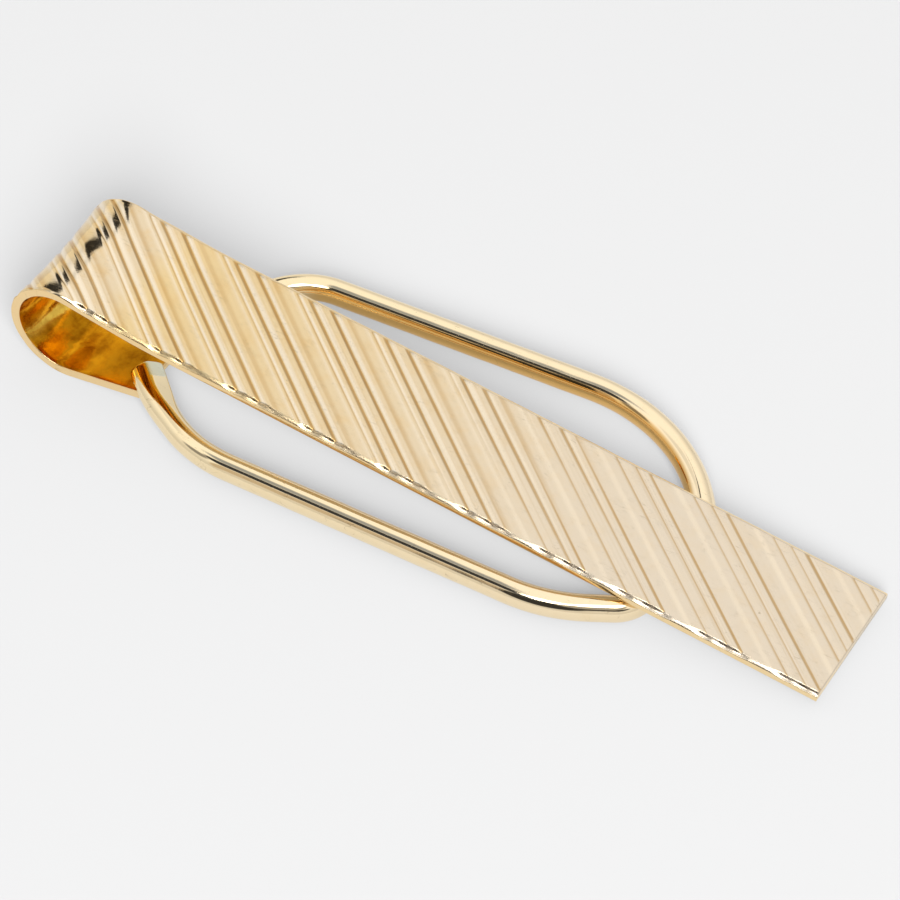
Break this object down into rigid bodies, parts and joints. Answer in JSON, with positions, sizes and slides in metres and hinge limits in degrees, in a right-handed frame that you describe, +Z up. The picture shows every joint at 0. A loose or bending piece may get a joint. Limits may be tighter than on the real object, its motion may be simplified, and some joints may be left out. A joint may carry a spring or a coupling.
{
  "type": "tie clip",
  "caption": "Spring clip for a tie: a diagonally ribbed gold bar folded over in a round bow, with a wire loop soldered beneath it.",
  "frame": {"origin": "middle of the part's outer box in plan, at the table it lies on (the bow's lowest line and the loop's tip)", "axes": "+X along the bar from the bow to its free end, +Y across the bar, +Z up from the table to the ribbed face"},
  "size_m": [0.0536, 0.018, 0.0068],
  "materials": {
    "satin_gold_strip": "gold-plated brass sheet, satin on the ribs, brighter along the grooves' edges, lightly scratched",
    "polished_gold_wire": "gold-plated round brass wire, polished, with fine handling marks",
    "gold_solder": "plated solder, smooth and slightly paler than the wire"
  },
  "bodies": {
    "back": {"back_tongue": "satin_gold_strip", "wire_loop": "polished_gold_wire", "near_solder_joint": "gold_solder", "far_solder_joint": "gold_solder", "spring_bow": "satin_gold_strip"},
    "front": {"front_bar": "satin_gold_strip"}
  },
  "joints": [
    {"name": "jaw_flex", "type": "hinge", "parent": "back", "child": "front", "pos_m": [-0.02343, -0.00166, 0.00342], "axis": [0, -1, 0], "range_deg": [0, 6], "stiffness_Nm_per_rad": 0.4, "springref_deg": -1.72, "deforming": ["spring_bow"]}
  ]
}
